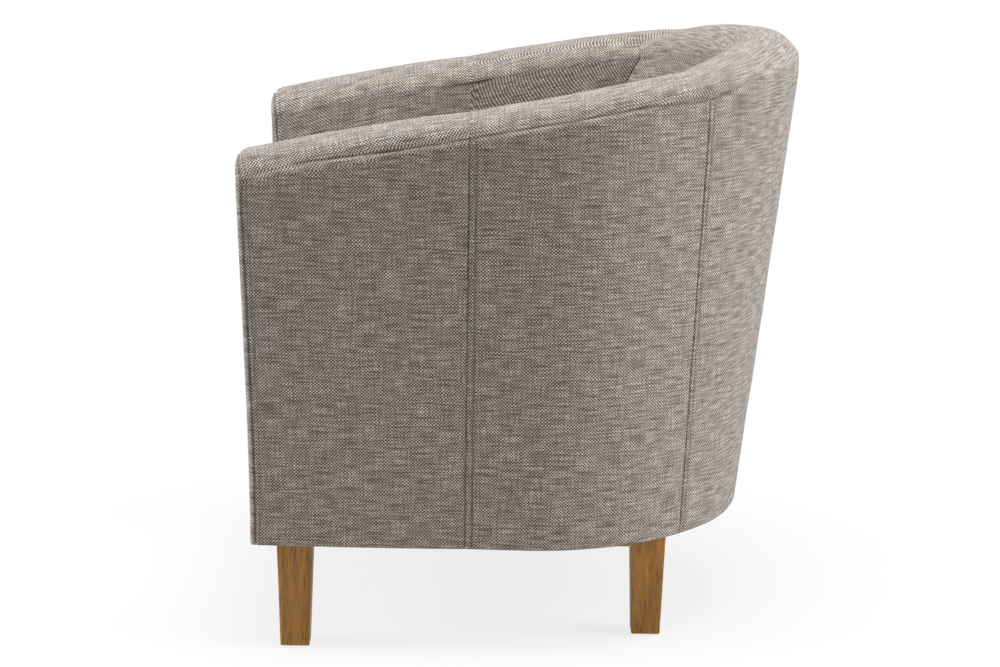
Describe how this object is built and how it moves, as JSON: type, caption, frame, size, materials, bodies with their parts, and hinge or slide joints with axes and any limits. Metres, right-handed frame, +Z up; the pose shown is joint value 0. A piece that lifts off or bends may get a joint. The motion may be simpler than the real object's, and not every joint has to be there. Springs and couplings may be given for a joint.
{
  "type": "tub chair",
  "caption": "Fabric tub chair: a horseshoe-shaped padded wall that rises from the arms to the back around a sprung seat, on square tapered wooden legs.",
  "frame": {"origin": "on the floor, under the middle of the chair's bounding box", "axes": "+Z up, the sitter faces -Y, +X is the sitter's left"},
  "size_m": [0.678, 0.6801, 0.7253],
  "materials": {
    "cover_fabric": "greige basket weave with a linen slub",
    "dust_cover_cloth": "black non-woven cloth",
    "foam": "cream polyurethane foam",
    "felt": "grey needled felt",
    "hardboard": "brown hardboard",
    "plywood": "raw birch plywood",
    "frame_timber": "raw sawn pine and beech",
    "leg_wood": "stained oak, satin",
    "steel": "zinc-plated steel",
    "nylon": "black nylon"
  },
  "bodies": {
    "root": {"arm_front_facing_left": "cover_fabric", "arm_front_facing_right": "cover_fabric", "arm_front_pad_left": "foam", "arm_front_pad_right": "foam", "back_post": "frame_timber", "base_rim": "plywood", "corner_blocks": "frame_timber", "dust_cover": "dust_cover_cloth", "dust_cover_staples": "steel", "front_apron_cover": "cover_fabric", "front_apron_pad": "foam", "front_base_rail": "frame_timber", "front_post_left": "frame_timber", "front_post_right": "frame_timber", "glides": "nylon", "inside_arm_foam_left": "foam", "inside_arm_foam_right": "foam", "inside_arm_front_cover_left": "cover_fabric", "inside_arm_front_cover_right": "cover_fabric", "inside_arm_rear_cover_left": "cover_fabric", "inside_arm_rear_cover_right": "cover_fabric", "inside_back_cover": "cover_fabric", "inside_back_foam": "foam", "inside_liner_board": "hardboard", "leg_bolts": "steel", "leg_front_left": "leg_wood", "leg_front_right": "leg_wood", "leg_nuts": "steel", "leg_rear_left": "leg_wood", "leg_rear_right": "leg_wood", "outside_arm_board_left": "hardboard", "outside_arm_board_right": "hardboard", "outside_arm_front_cover_left": "cover_fabric", "outside_arm_front_cover_right": "cover_fabric", "outside_arm_rear_cover_left": "cover_fabric", "outside_arm_rear_cover_right": "cover_fabric", "outside_back_board": "hardboard", "outside_back_cover": "cover_fabric", "post_screws": "steel", "rear_post_left": "frame_timber", "rear_post_right": "frame_timber", "seat_cover": "cover_fabric", "seat_foam": "foam", "seat_front_rail": "frame_timber", "seat_rail_dowels": "frame_timber", "seat_rail_packing_left": "frame_timber", "seat_rail_packing_right": "frame_timber", "seat_rail_screws": "steel", "seat_rear_rail": "frame_timber", "seat_side_rail_left": "frame_timber", "seat_side_rail_right": "frame_timber", "seat_springs": "steel", "side_post_left": "frame_timber", "side_post_right": "frame_timber", "spring_clips": "steel", "spring_felt": "felt", "top_rim": "plywood", "top_roll_foam": "foam"}
  },
  "joints": []
}
